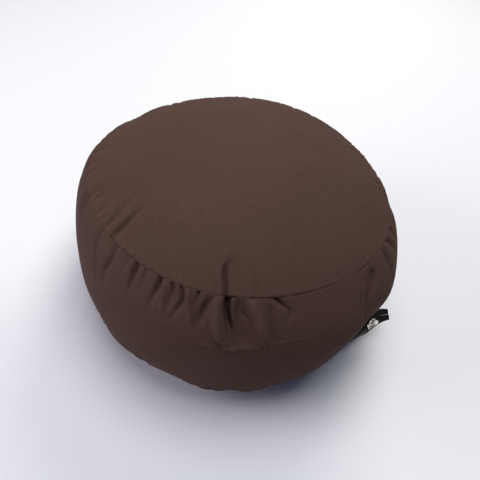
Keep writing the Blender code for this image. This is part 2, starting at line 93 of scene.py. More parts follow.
# How far the body is from round: each ring swells in whole waves round the axis.
UNEVEN_FIELDS = ("ring", "waves", "swell", "peak_deg")
UNEVEN = (
    ("top seam radius", 1, 3.7 * MM, 139),
    ("top seam radius", 2, 2.6 * MM, 11),
    ("top seam radius", 4, 1.5 * MM, -9),
    ("top seam height", 1, 1.7 * MM, 153),
    ("top seam height", 2, 2.5 * MM, 76),
    ("bulge radius", 1, 1.4 * MM, 92),
    ("bulge radius", 2, 4.2 * MM, -70),
    ("bulge radius", 3, 1.0 * MM, -56),
    ("bulge radius", 4, 1.8 * MM, -30),
    ("bottom seam radius", 1, 1.4 * MM, 15),
    ("bottom seam radius", 2, 2.2 * MM, 0),
    ("bottom seam radius", 3, 1.3 * MM, 10),
    ("bottom seam radius", 4, 2.9 * MM, 6),
)

# Creases and ridges in the cloth. left and right are the half widths in mm of their two flanks and
# depth is in mm, below zero for a ridge. A power of 1 gives a sharp bottom and 4 a flat one. path runs
# away from the seam: mm from the seam, azimuth in degrees, and the share of the depth there.
CREASE_FIELDS = ("panel", "left", "right", "depth", "power", "path")
CREASES = (
    # the deep front fold: a tube, a slit, a hollow, a fine crease in it, a ridge and its foot
    (BAND, 4.4, 4.4, -6.4, 3, (
        (0, -91.7, 0.15), (5, -91.6, 0.4), (10, -91.5, 0.6), (20, -90.7, 0.85), (28, -89.9, 1),
        (34, -88.7, 0.85), (38, -87.0, 0.45), (45, -84.0, 0),
    )),
    (BAND, 1.5, 4.2, 11.0, 2.6, (
        (0, -89.1, 1), (5, -89.3, 1), (10, -89.1, 1), (15, -88.6, 1), (20, -87.9, 0.9),
        (25, -87.2, 0.6), (32, -86.4, 0.2), (40, -85.4, 0),
    )),
    (BAND, 6.0, 10.0, 5.2, 2.6, (
        (0, -84.6, 0.3), (5, -84.6, 0.7), (12, -84.4, 1), (25, -83.8, 1), (33, -83.0, 0.8),
        (38, -82.6, 0.35), (44, -82.0, 0),
    )),
    (BAND, 1.3, 1.6, 1.5, 1.5, (
        (9, -83.4, 0), (13, -82.9, 1), (16, -81.6, 1), (19, -80.6, 1), (22, -80.5, 1),
        (26, -81.1, 0.8), (32, -81.6, 0.5), (38, -81.8, 0),
    )),
    (BAND, 4.0, 4.8, -5.4, 2, (
        (0, -81.4, 0.1), (5, -80.9, 0.5), (12, -79.7, 0.7), (21, -78.2, 0.9), (28, -77.3, 1),
        (34, -76.7, 0.7), (39, -76.4, 0),
    )),
    (BAND, 1.2, 5.0, 1.6, 1.5, (
        (4, -75.2, 0), (8, -75.0, 0.8), (20, -74.7, 1), (32, -74.6, 0.8), (37, -74.6, 0),
    )),
    # the small hooked crease to the right of it
    (BAND, 2.0, 2.0, 2.2, 1.5, (
        (0, -73.6, 0.6), (3, -71.9, 1), (6, -70.3, 1), (9, -68.9, 1), (11, -68.3, 1),
        (13, -68.1, 0.8), (16, -68.5, 0.6), (20, -69.8, 0.3), (27, -71.0, 0),
    )),
    (BAND, 2.6, 2.0, -0.3, 2, (
        (1, -76.4, 0), (4, -74.6, 0.8), (8, -72.2, 1), (12, -70.8, 0.8), (17, -70.8, 0),
    )),
    (BAND, 4.0, 3.0, 2.8, 2, ((0, -72.2, 1), (4, -71.0, 0.9), (9, -69.6, 0))),
    # gathers to the left of the fold
    (BAND, 4.2, 2.8, 3.4, 2, (
        (1, -93.4, 0.2), (5, -93.9, 0.8), (10, -94.6, 1), (16, -95.2, 1), (21, -95.6, 0.8),
        (28, -95.8, 0),
    )),
    (BAND, 1.6, 2.0, 3.4, 1.7, ((0, -98.2, 1), (5, -98.0, 0.8), (8, -98.0, 0.35), (14, -98.0, 0))),
    (BAND, 3.4, 2.4, -2.6, 2, (
        (0, -101.6, 0.5), (6, -100.9, 1), (12, -100.0, 1), (20, -98.6, 0.9), (29, -97.2, 0),
    )),
    (BAND, 1.8, 2.6, 3.8, 1.7, (
        (0, -103.9, 0.5), (3, -103.2, 1), (8, -102.5, 1), (12, -102.3, 1), (17, -102.8, 0.7),
        (22, -103.3, 0.35), (31, -104.0, 0),
    )),
    (BAND, 1.8, 2.6, 4.0, 1.7, (
        (0, -107.2, 0.5), (4, -106.5, 1), (8, -106.0, 0.9), (13, -105.8, 0.4), (21, -105.6, 0),
    )),
    (BAND, 2.4, 2.2, -2.0, 2, (
        (2, -109.4, 0), (5, -108.8, 0.8), (12, -108.0, 1), (20, -107.2, 0.7), (27, -107.0, 0),
    )),
    (BAND, 2.2, 2.6, 4.8, 1.7, (
        (0, -111.2, 0.6), (4, -110.9, 1), (10, -110.8, 0.9), (17, -111.0, 0.5), (24, -111.2, 0.2),
        (34, -111.4, 0),
    )),
    (BAND, 2.2, 2.6, 2.2, 1.7, ((0, -116.6, 0.6), (6, -116.2, 1), (12, -116.0, 0.6), (20, -115.8, 0))),
    (BAND, 2.2, 2.8, 5.0, 1.7, (
        (0, -120.6, 0.7), (6, -120.2, 1), (11, -120.0, 0.9), (17, -119.6, 0.55), (24, -119.2, 0.2),
        (34, -118.8, 0),
    )),
    (BAND, 2.0, 2.4, 2.2, 1.7, ((0, -124.6, 0.8), (6, -124.3, 1), (16, -124.0, 0))),
    (BAND, 3.8, 3.2, 3.6, 1.7, (
        (0, -130.6, 0.6), (4, -130.4, 0.8), (10, -129.6, 0.9), (18, -129.6, 1), (24, -130.0, 0.9),
        (30, -129.8, 0.6), (39, -129.0, 0),
    )),
    # long soft creases that cross the seam on the left
    (BAND, 3.4, 2.4, 2.8, 1.7, (
        (0, -139.4, 0.9), (5, -139.2, 0.9), (12, -138.6, 0.9), (20, -137.5, 1), (28, -135.6, 0.8),
        (35, -134.2, 0.6), (45, -132.0, 0),
    )),
    (TOP, 3.4, 2.4, 3.2, 1.7, (
        (0, -139.4, 0.5), (3, -139.6, 0.7), (8, -140.2, 1), (14, -141.2, 1), (20, -142.3, 0.9),
        (28, -143.6, 0.5), (36, -144.8, 0),
    )),
    (TOP, 3.2, 2.4, 4.4, 1.7, (
        (0, -134.7, 0.7), (5, -134.9, 1), (14, -135.3, 1), (20, -135.7, 0.9), (28, -136.4, 0.6),
        (39, -137.4, 0),
    )),
    (TOP, 2.6, 2.6, 1.8, 1.7, ((0, -146.4, 0.2), (5, -147.0, 1), (10, -148.0, 0.7), (15, -148.8, 0))),
    (TOP, 2.2, 2.2, 1.8, 1.5, ((4, -153.4, 0), (8, -153.8, 1), (12, -154.2, 0.8), (17, -154.8, 0))),
    (TOP, 2.2, 1.8, 1.4, 1.5, ((0, -169.0, 1), (7, -169.4, 1), (14, -170.0, 0.6), (26, -171.0, 0))),
    (TOP, 2.0, 1.8, 2.2, 1.5, ((0, -175.0, 1), (6, -175.3, 1), (12, -176.0, 0.6), (20, -177.0, 0))),
    (TOP, 2.2, 1.8, 2.8, 1.5, ((0, 178.0, 1), (7, 177.6, 1), (14, 177.0, 0.6), (26, 176.0, 0))),
    (TOP, 2.6, 2.6, 2.4, 1.7, ((0, -156.6, 1), (6, -157.4, 1), (11, -158.3, 0.7), (18, -159.5, 0))),
    (BAND, 2.4, 2.4, 3.4, 1.5, ((0, -155.6, 1), (8, -155.0, 1), (14, -154.2, 0.8), (22, -153.4, 0))),
    (BAND, 2.2, 2.2, 3.2, 1.5, (
        (0, -159.0, 0.4), (4, -158.4, 1), (10, -157.6, 1), (16, -156.8, 0.5), (23, -156.0, 0),
    )),
    # the crease above the front fold, in the top panel, the wide dip beside it and a fine crease
    (TOP, 1.2, 3.8, 5.6, 1.5, (
        (0, -89.9, 1), (7, -90.6, 1), (13, -91.2, 1), (20, -91.9, 0.9), (24, -91.7, 0.5),
        (28, -90.2, 0.3), (33, -87.0, 0),
    )),
    (TOP, 5.0, 14.0, 1.6, 3, (
        (0, -87.6, 0.9), (6, -88.0, 1), (14, -88.6, 1), (20, -89.0, 0.9), (27, -88.2, 0.5),
        (34, -86.4, 0),
    )),
    (TOP, 2.4, 3.4, 1.5, 1.7, ((0, -78.8, 0.4), (8, -79.4, 1), (18, -80.4, 0.8), (29, -81.5, 0))),
    # slanted creases on the right, above the zip
    (BAND, 1.8, 2.2, 4.4, 1.3, (
        (3, -31.4, 0), (7, -32.8, 0.7), (13, -35.0, 1), (19, -37.0, 1), (25, -38.6, 1),
        (32, -40.0, 1), (38, -41.0, 0.8), (48, -42.0, 0),
    )),
    (BAND, 4.6, 2.4, 4.6, 1.4, (
        (6, -30.4, 0), (10, -31.2, 0.7), (15, -32.6, 1), (20, -34.4, 1), (26, -36.9, 1),
        (33, -39.2, 0.8), (41, -41.2, 0),
    )),
    (BAND, 2.4, 2.4, -1.6, 2, (
        (3, -27.0, 0), (8, -28.0, 1), (16, -30.4, 1), (24, -33.6, 1), (30, -36.8, 0.6),
        (35, -38.6, 0),
    )),
    (BAND, 1.8, 1.8, 1.8, 1.7, ((16, -39.6, 0), (20, -40.6, 1), (27, -42.8, 0.8), (32, -44.0, 0))),
    (BAND, 1.6, 1.6, -1.1, 2, ((0, -35.0, 0.5), (4, -36.2, 1), (8, -38.6, 0.5), (12, -41.0, 0))),
    (BAND, 3.0, 3.0, 3.0, 1.5, (
        (0, -21.0, 0.5), (5, -21.2, 1), (15, -21.4, 1), (26, -22.0, 0.6), (39, -23.0, 0),
    )),
    (BAND, 3.0, 3.0, 3.2, 1.5, ((0, -15.5, 1), (8, -14.5, 1), (16, -13.6, 0.6), (28, -12.6, 0))),
    (BAND, 3.0, 3.0, 2.8, 1.5, ((0, -9.5, 1), (10, -8.8, 0.8), (25, -8.0, 0))),
)

# The low lips beside a crease, as a share of its depth, and how many half widths it reaches out.
CREASE_LIPS = 0.35
CREASE_REACH = 3

# How strongly the top seam is drawn in: on each panel, and round the axis, where each pair is an
# azimuth in degrees and a share.
SEAM_SHARE = {TOP: 1.0, BAND: 0.15, UNDER: 1.0}
SEAM_STRENGTH = (
    (-180, 0.5), (-165, 0.3), (-150, 0.2), (-140, 0.3), (-134, 0.6), (-122, 0.7), (-112, 0.7),
    (-104, 0.6), (-97, 0.4), (-91, 0.4), (-89.3, 1.4), (-88.2, 3.0), (-86.5, 2.2), (-85, 0.7),
    (-83, 0.5), (-80, 0.9), (-76, 0.7), (-74, 1.2), (-70, 0.7), (-68, 0.3), (-65.5, 0.8),
    (-60, 0.7), (-57, 0.4), (-53, 0.6), (-49, 0.5), (-46, 0.25), (-40, 0.25), (-37, 0.6),
    (-33, 0.6), (-30, 0.4), (-20, 0.6), (0, 0.8), (180, 0.5),
)

# Where the filling has sunk, with a push below zero, or stands out over a wider stretch.
PUSH_FIELDS = ("azimuth_deg", "spread_deg", "height", "half_height", "push")
PUSHES = (
    (-35.5, 9, 66 * MM, 40 * MM, -9.0 * MM),
    (-49.0, 9, 60 * MM, 32 * MM, -3.4 * MM),
    (-22.5, 7, 48 * MM, 24 * MM, -4.0 * MM),
    (-66.0, 7, 24 * MM, 14 * MM, -2.4 * MM),
    (-82.0, 4, 24 * MM, 14 * MM, -3.0 * MM),
    (-103.0, 9, 24 * MM, 14 * MM, -3.2 * MM),
    (-127.0, 10, 36 * MM, 20 * MM, 2.8 * MM),
    (150.0, 6, 140 * MM, 14 * MM, -2.2 * MM),
    (72.0, 34, 152 * MM, 16 * MM, 1.8 * MM),
    (8.0, 6, 137 * MM, 14 * MM, -2.0 * MM),
    (6.0, 20, 26 * MM, 24 * MM, -5.0 * MM),
)

# Lesser gathers round the sides that are out of view, and along the lower seam, where low is set.
# Widths, depths and runs are in mm.
GATHER_FIELDS = ("panel", "low", "count", "first_deg", "last_deg", "width", "depth", "run")
GATHERS = (
    (BAND, False, 30, -4.0, 196.0, 3.4, 3.8, 38),
    (TOP, False, 24, -2.0, 176.0, 2.8, 2.4, 28),
    (BAND, True, 40, -180.0, 180.0, 4.4, 1.5, 26),
    (UNDER, True, 40, -180.0, 180.0, 4.4, 1.4, 22),
)
GATHER_POWER = 1.5

# No two gathers are alike: the limits between which their size, their width, the ratio of their
# flanks and their lean vary. Steps of the golden section spread them evenly.
GATHER_SIZES = (0.4, 1.0)
GATHER_WIDTHS = (0.6, 1.2)
GATHER_FLANKS = (0.7, 1.3)
GATHER_LEANS_DEG = (-1.5, 1.5)
GOLDEN = 0.618034

# The share of its depth that a gather has at the seam, the share of its run where it is deepest, and
# the share of its lean there.
GATHER_AT_SEAM, GATHER_DEEPEST, GATHER_LEANT = 0.8, 0.3, 0.4

# Puckers start at a seam and fade away from it. They are a sum of waves, each of which goes a whole
# number of times round the axis.
PUCKER_FADE = {TOP: 6 * MM, BAND: 9 * MM, UNDER: 9 * MM}
PUCKER_START = 2 * MM
PUCKER_WAVES = 14
PUCKER_TIMES_ROUND = (90, 190)
PUCKER_SEEDS = {"top seam": 3, "low seam": 8}

# Soft hollows of the filling start a little away from the seams. They are a sum of waves too, whose
# lengths lie between two limits.
HOLLOW_START = 16 * MM
HOLLOW_WAVES = 18
HOLLOW_SIZES = (45 * MM, 130 * MM)
HOLLOW_SEED = 20

# The cloth turns under along a thin ridge across the front: azimuth in degrees, mm from the top seam
# and the share of its rise there.
SHELF_HALF_WIDTH = 1.3 * MM
SHELF_RISE = 1.5 * MM
SHELF = (
    (-97, 42.5, 0), (-93, 41.5, 0.7), (-87, 41.5, 1), (-83, 40.5, 1), (-77, 39.5, 0.9),
    (-74, 37, 0.6), (-66, 36, 0.5), (-60, 35, 0),
)

# The camera, fitted to the outline and the seam: it looks along +Y, down and tipped to one side.
CAMERA_AIM = Vector((0.0, 0.0, 80 * MM))
CAMERA_DISTANCE = 540 * MM
CAMERA_ELEVATION_DEG = 45.9
CAMERA_ROLL_DEG = 10.3
FRAME_PIXELS = 480
FOCAL_PIXELS = 515
AIM_PIXEL = (236.1, 230.1)
SENSOR_MM = 36

# The cotton: how far its threads wander and over what length, the width and length of its thick
# stretches of thread, the size of its faded clouds, and the height of the weave.
THREAD_WANDER, WANDER_SIZE = 1.2 * MM, 6.25 * MM
SLUB_WIDTH, SLUB_LENGTH = 2.38 * MM, 7.7 * MM
CLOUD_SIZE = 111 * MM
WEAVE_HEIGHT, WEAVE_STRENGTH = 0.12 * MM, 0.1

# The most of the dark colour that shows, and the sums of both noises between which it comes in.
DARK_SHARE = 0.3
DARK_BETWEEN = (0.7, 1.35)
SHEEN_COLOUR = "B09A92"

# The zip: the ribs of its tape, the scuffs of its teeth and the wear of its plating, with the
# roughness between the best and the worst places.
RIB_SIZE, RIB_HEIGHT, RIB_STRENGTH, RIB_COLOUR = 1.11 * MM, 0.2 * MM, 0.4, "1C1C1F"
SCUFF_SIZE, SCUFF_ROUGHNESS = 2.5 * MM, (0.3, 0.55)
WEAR_SIZE, WEAR_ROUGHNESS = 1.43 * MM, (0.12, 0.32)

# The studio: a wide floor, a dim sky and round lamps that face the cushion. Places and sizes are in
# metres and powers in watts.
FLOOR_HALF, FLOOR_STEPS = 4.0, 8
SKY_COLOUR, SKY_STRENGTH = "C8D2FF", 0.14
LAMP_FIELDS = ("name", "place", "size", "power", "colour")
LAMPS = (
    ("back_light", (0.3, 1.2, 1.2), 1.0, 15.0, "FFFAF2"),
    ("left_light", (-1.25, -0.4, 0.65), 0.9, 8.6, "FFF6FF"),
    ("overhead_light", (0.0, 0.0, 1.6), 1.2, 15.4, "FFFFFF"),
)


class CushionSettings(bpy.types.PropertyGroup):
    """The sizes of the cover that a user would change"""

    steps_round: IntProperty(
        name="Steps round",
        description="Points in each ring of the cover",
        default=520,
        min=100,
        max=520,
    )
    seam_depth: FloatProperty(
        name="Seam depth",
        description="How far the seams are drawn in",
        default=1.5 * MM,
        unit="LENGTH",
    )
    seam_width: FloatProperty(
        name="Seam width",
        description="Half the width of the dip at a seam",
        default=0.9 * MM,
        unit="LENGTH",
    )
    crease_scale: FloatProperty(
        name="Crease depth",
        description="Depth of every crease, as a share of its own",
        default=1.0,
        min=0.0,
        max=1.5,
    )
    ripple_height: FloatProperty(
        name="Ripple height",
        description="Height of the puckers at a seam",
        default=0.22 * MM,
        unit="LENGTH",
    )
    hollow_height: FloatProperty(
        name="Hollow height",
        description="Height of the soft hollows of the filling",
        default=0.3 * MM,
        unit="LENGTH",
    )
    thread_spacing: FloatProperty(
        name="Thread spacing",
        description="Distance between the threads of the cloth",
        default=0.9 * MM,
        unit="LENGTH",
    )


def linear(hex_value):
    """The linear colour, with full alpha, of an sRGB hex value such as "5A4841"."""
    channels = [int(hex_value[start : start + 2], 16) / 255 for start in (0, 2, 4)]
    return (*(c / 12.92 if c <= 0.04045 else ((c + 0.055) / 1.055) ** 2.4 for c in channels), 1.0)


class ColourSettings(bpy.types.PropertyGroup):
    """The colours that a user would change"""

    cloth: FloatVectorProperty(
        name="Cloth",
        description="Colour of the cotton",
        subtype="COLOR",
        size=4,
        default=linear("503C34"),
    )
    cloth_dark: FloatVectorProperty(
        name="Cloth, dark",
        description="Colour of its darker threads",
        subtype="COLOR",
        size=4,
        default=linear("372622"),
    )
    tape: FloatVectorProperty(
        name="Zip tape",
        description="Colour of the zip's tape",
        subtype="COLOR",
        size=4,
        default=linear("101012"),
    )
    nickel: FloatVectorProperty(
        name="Nickel",
        description="Colour of the slider and its pull",
        subtype="COLOR",
        size=4,
        default=linear("E4E0D8"),
    )
    floor: FloatVectorProperty(
        name="Floor",
        description="Colour of the floor",
        subtype="COLOR",
        size=4,
        default=linear("ECEEF0"),
    )


def smoothstep(x):
    """Eases from 0 to 1 while x goes from 0 to 1."""
    x = np.clip(x, 0.0, 1.0)
    return x * x * (3 - 2 * x)


def between(limits, share):
    """The value at a share of the way from the first limit to the second."""
    return limits[0] + (limits[1] - limits[0]) * share


def degrees_between(azimuth, other):
    """The signed angle from other to azimuth, from -180 to 180."""
    return (azimuth - other + 180) % 360 - 180


def swell(ring, azimuth):
    """How far a ring is pushed from its plain size at these azimuths, in degrees."""
    total = np.zeros_like(azimuth)
    for row in UNEVEN:
        fields = dict(zip(UNEVEN_FIELDS, row))
        if fields["ring"] == ring:
            total += fields["swell"] * np.cos(fields["waves"] * np.radians(azimuth - fields["peak_deg"]))
    return total


def bezier(points, share):
    """(radius, height) at a share of the way along a curve with two ends and two handles."""
    weights = ((1 - share) ** 3, 3 * (1 - share) ** 2 * share, 3 * (1 - share) * share**2, share**3)
    radius = sum(weight * point[0] for weight, point in zip(weights, points))
    height = sum(weight * point[1] for weight, point in zip(weights, points))
    return radius, height


def body_rings(azimuth):
    """(radius, height) of the top seam, the bulge and the low seam over the azimuths."""
    top_seam = (
        TOP_SEAM_RADIUS + swell("top seam radius", azimuth),
        TOP_SEAM_HEIGHT + swell("top seam height", azimuth),
    )
    bulge = (BULGE_RADIUS + swell("bulge radius", azimuth), BULGE_HEIGHT + 0 * azimuth)
    low_seam = (BOTTOM_SEAM_RADIUS + swell("bottom seam radius", azimuth), BOTTOM_SEAM_HEIGHT + 0 * azimuth)
    return top_seam, bulge, low_seam


def top_outline(share, seam):
    """The crown, from its centre out to the seam."""
    edge_height = TOP_SEAM_HEIGHT + (seam[1] - TOP_SEAM_HEIGHT) * share**2
    return seam[0] * share, edge_height + CROWN_RISE * (1 - share**CROWN_POWER)


def upper_band_outline(share, seam, bulge):
    """The band from the top seam down to the bulge, where it is upright."""
    out = TOP_REACH * (bulge[0] - seam[0])
    drop = seam[1] - bulge[1]
    handles = (
        (seam[0] + out, seam[1] - out * math.tan(math.radians(TOP_LEAVING_DEG))),
        (bulge[0], bulge[1] + TOP_DROP * drop),
    )
    return bezier((seam, *handles, bulge), share)


def lower_band_outline(share, bulge, seam):
    """The band from the bulge down to the low seam. Where the seam stands further out than the bulge,
    the curve still doesn't double back."""
    out = np.maximum(LOW_REACH * (bulge[0] - seam[0]), 0.0)
    drop = bulge[1] - seam[1]
    lift = np.minimum(out * math.tan(math.radians(BOTTOM_LEAVING_DEG)), LOW_LIFT * drop)
    handles = ((bulge[0], bulge[1] - LOW_DROP * drop), (seam[0] + out, seam[1] + lift))
    return bezier((bulge, *handles, seam), share)


def under_outline(share, seam):
    """The underside: a curved edge from the seam to half way in, and the flat that it rests on."""
    if share > 0.5:
        return FLAT_RADIUS * (2 - 2 * share) + 0 * seam[0], 0 * seam[0]
    inward = 2 * share
    radius = seam[0] + (FLAT_RADIUS - seam[0]) * inward
    return radius, BOTTOM_SEAM_HEIGHT * (1 - inward) ** UNDER_EDGE_POWER + 0 * seam[0]


def outline(panel, share, azimuth):
    """(radius, height) of the smooth body over the azimuths, at a share of the way across a panel. The
    bulge is half way down the band."""
    top_seam, bulge, low_seam = body_rings(azimuth)
    if panel == TOP:
        return top_outline(share, top_seam)
    if panel == UNDER:
        return under_outline(share, low_seam)
    if share < 0.5:
        return upper_band_outline(2 * share, top_seam, bulge)
    return lower_band_outline(2 * share - 1, bulge, low_seam)


def outward(panel, share, azimuth):
    """(outward, upward) parts of the smooth body's direction over the azimuths."""
    before = outline(panel, max(share - SLOPE_STEP, 0.0), azimuth)
    after = outline(panel, min(share + SLOPE_STEP, 1.0), azimuth)
    along = (after[0] - before[0], after[1] - before[1])
    length = np.hypot(*along)
    return -along[1] / length, along[0] / length


def crease_shape(across, power):
    """A trough one unit deep with low lips. across is counted in half widths."""
    lips = CREASE_LIPS * across**2 * np.exp(-(across**2))
    return np.exp(-(np.abs(across) ** power)) - lips


def gather_path(azimuth, lean, run):
    """The path of a gather that starts at a seam and fades out at the end of its run."""
    deepest = (GATHER_DEEPEST * run, azimuth + GATHER_LEANT * lean, 1)
    return (0, azimuth, GATHER_AT_SEAM), deepest, (run, azimuth + lean, 0)


def gather_rows(group):
    """The creases of one row of GATHERS, each unlike the next and the same in each run."""
    fields = dict(zip(GATHER_FIELDS, group))
    pitch = (fields["last_deg"] - fields["first_deg"]) / fields["count"]
    rows = []
    for number in range(fields["count"]):
        chance = (number * GOLDEN) % 1
        other = (number * GOLDEN**2) % 1
        size = between(GATHER_SIZES, other)
        azimuth = fields["first_deg"] + pitch * (number + chance)
        path = gather_path(azimuth, between(GATHER_LEANS_DEG, chance), fields["run"] * size)
        left = fields["width"] * between(GATHER_WIDTHS, chance)
        right = left * between(GATHER_FLANKS, other)
        row = (fields["panel"], left, right, fields["depth"] * size, GATHER_POWER, path)
        rows.append(dict(zip(CREASE_FIELDS, row), low=fields["low"]))
    return rows


def crease_rows():
    """The named creases as dicts, then the gathers that are spread round the rest."""
    rows = [dict(zip(CREASE_FIELDS, row), low=False) for row in CREASES]
    for group in GATHERS:
        rows += gather_rows(group)
    return rows


def crease_depth(row, distance, radius, azimuth):
    """How deep one crease is at places this far from its seam, in metres."""
    steps, places, shares = zip(*row["path"])
    share = np.interp(distance / MM, steps, shares, left=0.0, right=0.0)
    across = np.radians(degrees_between(azimuth, np.interp(distance / MM, steps, places))) * radius / MM
    across = across / np.where(across < 0, row["left"], row["right"])
    near = np.abs(across) < CREASE_REACH
    return row["depth"] * MM * share * np.where(near, crease_shape(across, row["power"]), 0.0)


def seam_dip(settings, panel, distance):
    """The narrow groove where two panels are sewn together."""
    groove = np.exp(-((distance / settings.seam_width) ** 2))
    return settings.seam_depth * groove * SEAM_SHARE[panel]


def shelf_rise(distance, azimuth):
    """The thin ridge across the front, at places this far from the top seam."""
    places, levels, shares = zip(*SHELF)
    level = (distance - np.interp(azimuth, places, levels) * MM) / SHELF_HALF_WIDTH
    share = np.interp(azimuth, places, shares, left=0.0, right=0.0)
    return SHELF_RISE * share * np.exp(-(level**2))


def push(row, height, azimuth):
    """How far one row of PUSHES moves the cloth."""
    fields = dict(zip(PUSH_FIELDS, row))
    turn = degrees_between(azimuth, fields["azimuth_deg"]) / fields["spread_deg"]
    level = (height - fields["height"]) / fields["half_height"]
    return fields["push"] * np.exp(-(turn**2) - level**2)


def waves_round(azimuth, seed):
    """Uneven ripples round the axis, about one unit high."""
    chance = np.random.default_rng(seed)
    total = np.zeros_like(azimuth)
    for count in chance.integers(*PUCKER_TIMES_ROUND, PUCKER_WAVES):
        total += np.cos(np.radians(count * azimuth) + chance.uniform(0, 2 * math.pi))
    return total / math.sqrt(PUCKER_WAVES / 2)


def puckers(settings, panel, seam, distance, azimuth):
    """The fine puckers that the stitches of a seam leave beside it."""
    waves = waves_round(azimuth, PUCKER_SEEDS[seam] + panel)
    near = np.exp(-distance / PUCKER_FADE[panel]) * smoothstep(distance / PUCKER_START)
    return settings.ripple_height * waves * near


def cloth_place(panel, radius, height, azimuth):
    """Metres along the cloth in two directions: round and up the band, or across a round panel."""
    turn = np.radians(azimuth)
    if panel == BAND:
        return BULGE_RADIUS * turn, height
    return radius * np.cos(turn), radius * np.sin(turn)


def soft_hollows(across, along, seed):
    """Low uneven hollows and swellings, about one unit high, over two lengths of cloth."""
    chance = np.random.default_rng(seed)
    total = np.zeros_like(across)
    for _ in range(HOLLOW_WAVES):
        turn = chance.uniform(0, 2 * math.pi)
        count = 2 * math.pi / chance.uniform(*HOLLOW_SIZES)
        phase = chance.uniform(0, 2 * math.pi)
        total += np.cos(count * (across * math.cos(turn) + along * math.sin(turn)) + phase)
    return total / math.sqrt(HOLLOW_WAVES / 2)


def relief(settings, rows, panel, share, azimuth):
    """How far the cloth stands out of the smooth body: its seams, creases, puckers and hollows."""
    total = np.zeros_like(azimuth)
    if panel == UNDER and share >= 0.5:
        return total
    radius, height = outline(panel, share, azimuth)
    top_seam, _, low_seam = body_rings(azimuth)
    from_top = np.hypot(radius - top_seam[0], height - top_seam[1])
    from_low = np.hypot(radius - low_seam[0], height - low_seam[1])
    total -= seam_dip(settings, panel, from_top) * np.interp(azimuth, *zip(*SEAM_STRENGTH))
    total -= seam_dip(settings, panel, from_low)
    for row in rows:
        if row["panel"] == panel:
            distance = from_low if row["low"] else from_top
            total -= settings.crease_scale * crease_depth(row, distance, radius, azimuth)
    if panel == BAND:
        total += shelf_rise(from_top, azimuth)
    for row in PUSHES:
        total += push(row, height, azimuth)
    total += puckers(settings, panel, "top seam", from_top, azimuth)
    total += puckers(settings, panel, "low seam", from_low, azimuth)
    settle = smoothstep(np.minimum(from_top, from_low) / HOLLOW_START)
    places = cloth_place(panel, radius, height, azimuth)
    total += settings.hollow_height * settle * soft_hollows(*places, HOLLOW_SEED + panel)
    return total


def ring_places():
    """(panel, share) of each ring from the centre of the top to the centre underneath, closer
    together near the seams."""
    parts, shares = zip(*BAND_SPREAD)
    places = [(TOP, math.sin(math.pi / 2 * ring / TOP_RINGS)) for ring in range(1, TOP_RINGS)]
    places += [(BAND, float(np.interp(ring / BAND_RINGS, parts, shares))) for ring in range(BAND_RINGS + 1)]
    places += [(UNDER, 0.5 * (ring / EDGE_RINGS) ** EDGE_CROWDING) for ring in range(1, EDGE_RINGS + 1)]
    places += [(UNDER, 0.5 + 0.5 * ring / FLAT_RINGS) for ring in range(1, FLAT_RINGS)]
    return places


def cover_points(settings, azimuth):
    """Where the cloth lies: one row of places for each ring, as an array."""
    rows = crease_rows()
    rings = []
    turn = np.radians(azimuth)
    for panel, share in ring_places():
        radius, height = outline(panel, share, azimuth)
        stand = relief(settings, rows, panel, share, azimuth)
        out, up = outward(panel, share, azimuth)
        radius = radius + stand * out
        height = np.maximum(height + stand * up, 0.0)
        rings.append(np.stack((radius * np.cos(turn), radius * np.sin(turn), height), axis=1))
    return np.array(rings)


def cover_faces(steps, panel_of):
    """(faces, the panel of each): a fan from the crown, a strip between each two rings and a fan
    underneath. The crown and the middle underneath are the two points after the last ring."""
    crown = steps * len(panel_of)
    faces = [(crown, step, (step + 1) % steps) for step in range(steps)]
    panels = [TOP] * steps
    for ring in range(len(panel_of) - 1):
        start, below = ring * steps, (ring + 1) * steps
        panel = TOP if panel_of[ring] == TOP else panel_of[ring + 1]
        for step in range(steps):
            after = (step + 1) % steps
            faces.append((start + step, below + step, below + after, start + after))
            panels.append(panel)
    last = crown - steps
    faces += [(crown + 1, last + (step + 1) % steps, last + step) for step in range(steps)]
    panels += [UNDER] * steps
    return faces, panels


def cover_mesh(settings):
    """The closed cover. Each panel has its own material slot."""
    steps = settings.steps_round
    even = 2 * math.pi * np.arange(steps) / steps
    azimuth = np.degrees(even - CROWDING * np.sin(even - math.radians(CROWDED_DEG)))
    rings = cover_points(settings, degrees_between(azimuth, 0.0))
    middles = [(0.0, 0.0, TOP_SEAM_HEIGHT + CROWN_RISE), (0.0, 0.0, 0.0)]
    verts = [tuple(point) for ring in rings for point in ring] + middles
    faces, panels = cover_faces(steps, [panel for panel, _ in ring_places()])
    mesh = bpy.data.meshes.new("cushion_cover")
    mesh.from_pydata(verts, [], faces)
    mesh.polygons.foreach_set("material_index", panels)
    mesh.shade_smooth()
    return mesh


def node(tree, kind, links=(), **settings):
    """Adds a node. links are (socket of the new node, output of another or a value)."""
    made = tree.nodes.new(kind)
    for name, value in settings.items():
        setattr(made, name, value)
    for socket, source in links:
        if isinstance(source, bpy.types.NodeSocket):
            tree.links.new(source, made.inputs[socket])
        else:
            made.inputs[socket].default_value = source
    return made


def new_material(name):
    """(material, its node tree, its surface shader)"""
    material = bpy.data.materials.new(name)
    material.use_nodes = True
    tree = material.node_tree
    return material, tree, tree.nodes["Principled BSDF"]


def mixed_colour(tree, share, first, second):
    """Goes from the first colour to the second as the share grows. 6, 7 and 2 are the colour sockets
    of a mix."""
    mix = node(tree, "ShaderNodeMix", ((0, share), (6, first), (7, second)), data_type="RGBA")
    return mix.outputs[2]


def per_metre(size):
    """The scale of a noise texture whose bumps have this size."""
    return 1 / size


